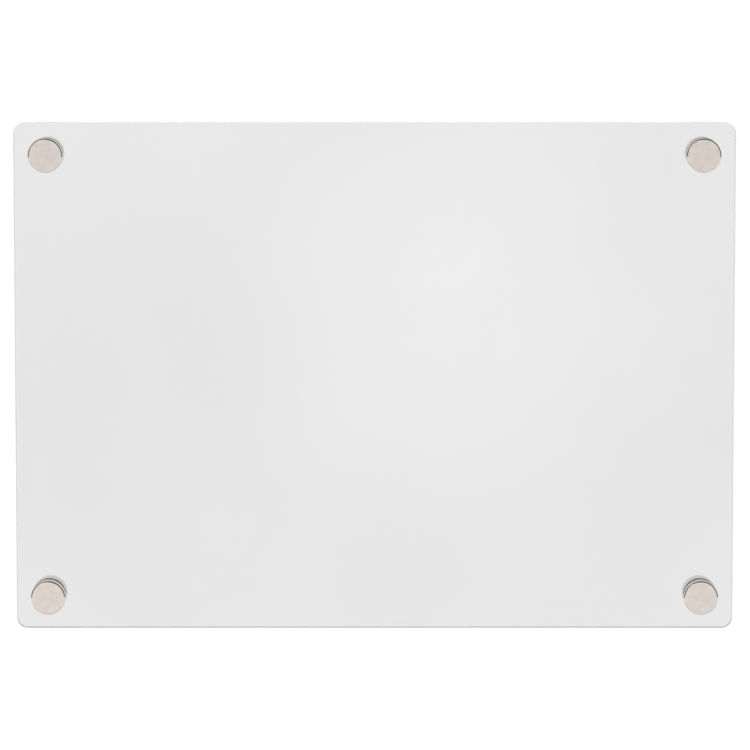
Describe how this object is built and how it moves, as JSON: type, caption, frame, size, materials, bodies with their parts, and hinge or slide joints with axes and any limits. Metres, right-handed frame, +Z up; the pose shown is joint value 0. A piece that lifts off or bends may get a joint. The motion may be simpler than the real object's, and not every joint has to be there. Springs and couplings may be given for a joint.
{
  "type": "acrylic memo board",
  "caption": "Clear acrylic writing board with rounded corners, held off the wall by screwed metal standoffs at its corners.",
  "frame": {"origin": "centre of the fixing pattern on the wall plane, which the four barrels stand on", "axes": "+Z up, +Y into the wall, +X to the reader's right; the board faces -Y"},
  "size_m": [0.42, 0.0528, 0.297],
  "materials": {
    "clear_acrylic": "clear, polished faces and edges",
    "satin_nickel": "satin nickel plate on turned metal",
    "threaded_steel": "plain turned thread",
    "clear_silicone": "clear, soft",
    "zinc_plated_steel": "bright zinc plate",
    "grey_nylon": "moulded, matt"
  },
  "bodies": {
    "board": {"panel": "clear_acrylic", "barrel_top_left": "satin_nickel", "barrel_top_right": "satin_nickel", "barrel_bottom_left": "satin_nickel", "barrel_bottom_right": "satin_nickel", "rear_washer_top_left": "clear_silicone", "rear_washer_top_right": "clear_silicone", "rear_washer_bottom_left": "clear_silicone", "rear_washer_bottom_right": "clear_silicone", "wall_screw_top_left": "zinc_plated_steel", "wall_screw_top_right": "zinc_plated_steel", "wall_screw_bottom_left": "zinc_plated_steel", "wall_screw_bottom_right": "zinc_plated_steel", "wall_plug_top_left": "grey_nylon", "wall_plug_top_right": "grey_nylon", "wall_plug_bottom_left": "grey_nylon", "wall_plug_bottom_right": "grey_nylon"},
    "washer_top_left": {"front_washer_top_left": "clear_silicone"},
    "washer_top_right": {"front_washer_top_right": "clear_silicone"},
    "washer_bottom_left": {"front_washer_bottom_left": "clear_silicone"},
    "washer_bottom_right": {"front_washer_bottom_right": "clear_silicone"},
    "cap_top_left": {"cap_top_left": "satin_nickel", "stud_top_left": "threaded_steel"},
    "cap_top_right": {"cap_top_right": "satin_nickel", "stud_top_right": "threaded_steel"},
    "cap_bottom_left": {"cap_bottom_left": "satin_nickel", "stud_bottom_left": "threaded_steel"},
    "cap_bottom_right": {"cap_bottom_right": "satin_nickel", "stud_bottom_right": "threaded_steel"}
  },
  "joints": [
    {"name": "top_left_travel", "type": "slide", "parent": "board", "child": "washer_top_left", "axis": [0, -1, 0], "range_m": [0, 0.0045]},
    {"name": "top_right_travel", "type": "slide", "parent": "board", "child": "washer_top_right", "axis": [0, -1, 0], "range_m": [0, 0.0045]},
    {"name": "bottom_left_travel", "type": "slide", "parent": "board", "child": "washer_bottom_left", "axis": [0, -1, 0], "range_m": [0, 0.0045]},
    {"name": "bottom_right_travel", "type": "slide", "parent": "board", "child": "washer_bottom_right", "axis": [0, -1, 0], "range_m": [0, 0.0045]},
    {"name": "top_left_turn", "type": "hinge", "parent": "washer_top_left", "child": "cap_top_left", "pos_m": [-0.191, -0.0192, 0.1295], "axis": [0, -1, 0], "range_deg": [0, 1080]},
    {"name": "top_right_turn", "type": "hinge", "parent": "washer_top_right", "child": "cap_top_right", "pos_m": [0.191, -0.0192, 0.1295], "axis": [0, -1, 0], "range_deg": [0, 1080]},
    {"name": "bottom_left_turn", "type": "hinge", "parent": "washer_bottom_left", "child": "cap_bottom_left", "pos_m": [-0.191, -0.0192, -0.1295], "axis": [0, -1, 0], "range_deg": [0, 1080]},
    {"name": "bottom_right_turn", "type": "hinge", "parent": "washer_bottom_right", "child": "cap_bottom_right", "pos_m": [0.191, -0.0192, -0.1295], "axis": [0, -1, 0], "range_deg": [0, 1080]}
  ],
  "couplings": [
    {"joint": "top_left_turn", "follows": "top_left_travel", "rad_per_m": 4188.8},
    {"joint": "top_right_turn", "follows": "top_right_travel", "rad_per_m": 4188.8},
    {"joint": "bottom_left_turn", "follows": "bottom_left_travel", "rad_per_m": 4188.8},
    {"joint": "bottom_right_turn", "follows": "bottom_right_travel", "rad_per_m": 4188.8}
  ]
}
